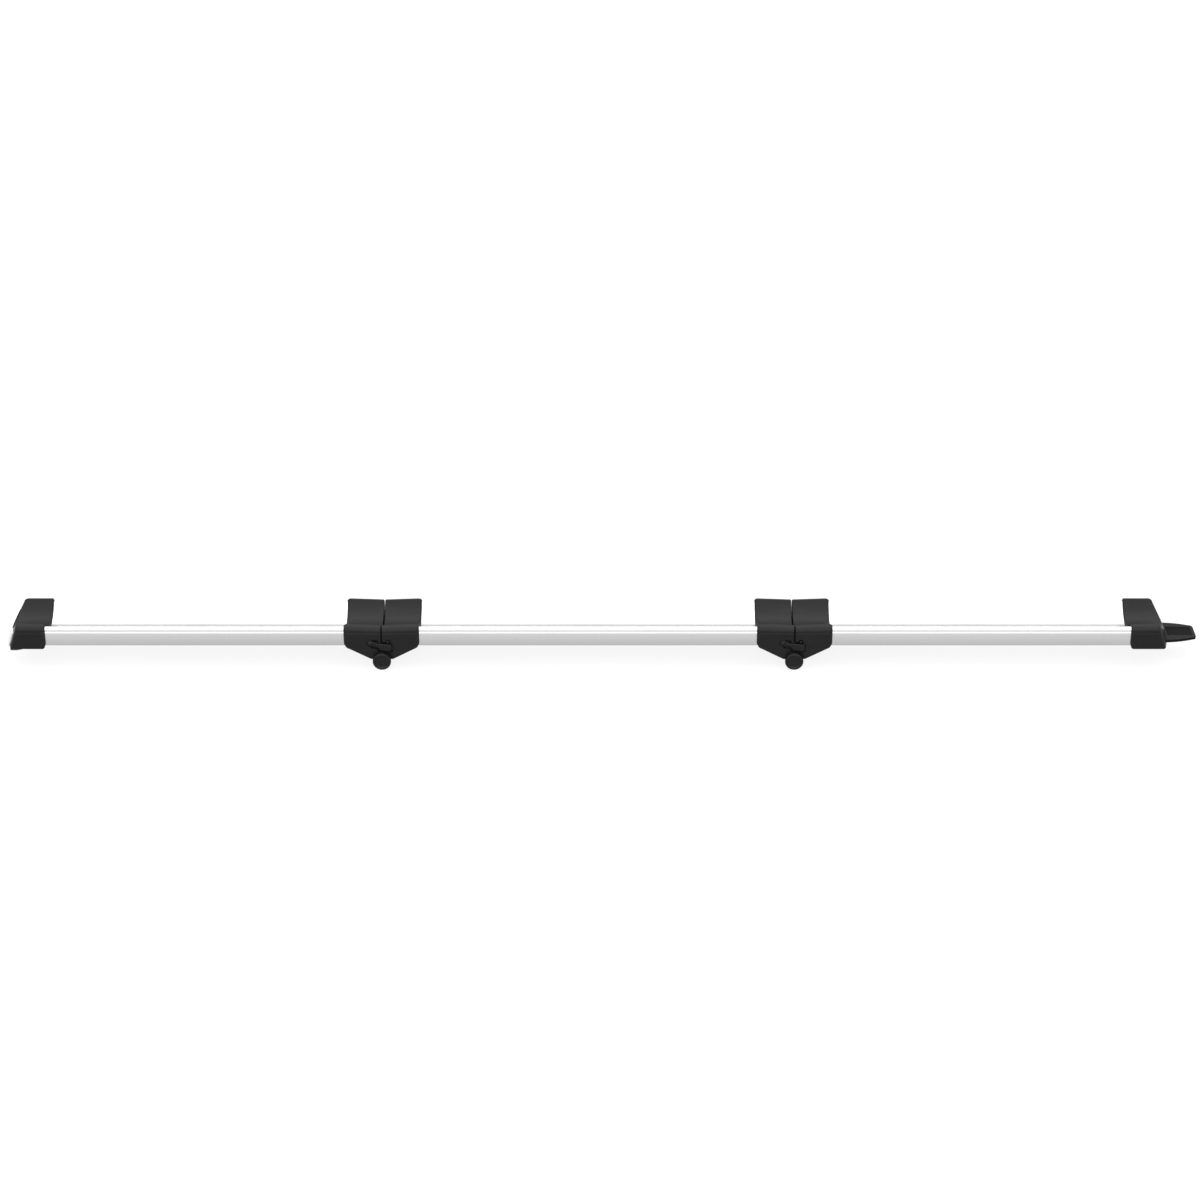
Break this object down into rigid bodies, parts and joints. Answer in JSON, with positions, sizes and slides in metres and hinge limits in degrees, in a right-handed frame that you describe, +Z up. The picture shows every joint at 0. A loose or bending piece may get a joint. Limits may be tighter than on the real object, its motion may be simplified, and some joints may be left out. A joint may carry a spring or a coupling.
{
  "type": "folding channel bar",
  "caption": "Folding aluminium channel bar with moulded hinge joints, press-down latches, nosed end caps and a hook tongue; spans a truck bed or carries a wheel up to a rack.",
  "frame": {"origin": "middle of the whole bar's footprint, tongue included, at the height of the pin heads it stands on", "axes": "+X along the bar towards the tongue, +Y towards the back (the latches face -Y), +Z up out of the trough"},
  "size_m": [1.5568, 0.0998, 0.0601],
  "materials": {
    "alloy": "satin anodised extrusion, bright and lightly brushed along its length",
    "rivet_alloy": "plain mill-finish rivet heads",
    "black_moulding": "fine-grained black glass-filled nylon with a low sheen",
    "steel": "zinc-plated steel",
    "black_steel": "chemically blackened steel",
    "grey_rubber": "light grey moulded rubber",
    "black_rubber": "plain black rubber"
  },
  "bodies": {
    "middle_section": {"channel_middle": "alloy", "bracket_left_inner": "black_moulding", "bracket_right_inner": "black_moulding", "hinge_pin_left": "steel", "hinge_pin_right": "steel", "hinge_knob_left": "black_moulding", "hinge_knob_right": "black_moulding", "pin_head_left": "black_moulding", "pin_head_right": "black_moulding", "hinge_sleeve_left": "steel", "hinge_sleeve_right": "steel", "thrust_washers_left": "steel", "thrust_washers_right": "steel", "latch_rivet_right": "black_steel", "latch_spring_right": "black_steel", "catch_peg_left": "black_steel", "rivets_middle": "rivet_alloy"},
    "left_section": {"channel_left": "alloy", "bracket_left_outer": "black_moulding", "end_cap_left": "black_moulding", "nose_strip": "grey_rubber", "ground_pad": "black_rubber", "latch_rivet_left": "black_steel", "latch_spring_left": "black_steel", "rivets_left": "rivet_alloy"},
    "right_section": {"channel_right": "alloy", "bracket_right_outer": "black_moulding", "end_cap_right": "black_moulding", "hook_tongue": "black_moulding", "tongue_screws": "steel", "catch_peg_right": "black_steel", "rivets_right": "rivet_alloy"},
    "left_latch": {"latch_arm_left": "black_moulding"},
    "right_latch": {"latch_arm_right": "black_moulding"}
  },
  "joints": [
    {"name": "left_fold", "type": "hinge", "parent": "middle_section", "child": "left_section", "pos_m": [-0.28638, 0, 0.012], "axis": [0, -1, 0], "range_deg": [0, 180]},
    {"name": "right_fold", "type": "hinge", "parent": "middle_section", "child": "right_section", "pos_m": [0.25062, 0, 0.012], "axis": [0, 1, 0], "range_deg": [0, 150]},
    {"name": "left_latch_press", "type": "hinge", "parent": "left_section", "child": "left_latch", "pos_m": [-0.30138, -0.041, 0.0362], "axis": [0, 1, 0], "range_deg": [0, 6], "stiffness_Nm_per_rad": 0.5, "springref_deg": -5.73, "deforming": ["latch_spring_left"]},
    {"name": "right_latch_press", "type": "hinge", "parent": "middle_section", "child": "right_latch", "pos_m": [0.23562, -0.041, 0.0362], "axis": [0, 1, 0], "range_deg": [0, 6], "stiffness_Nm_per_rad": 0.5, "springref_deg": -5.73, "deforming": ["latch_spring_right"]}
  ]
}
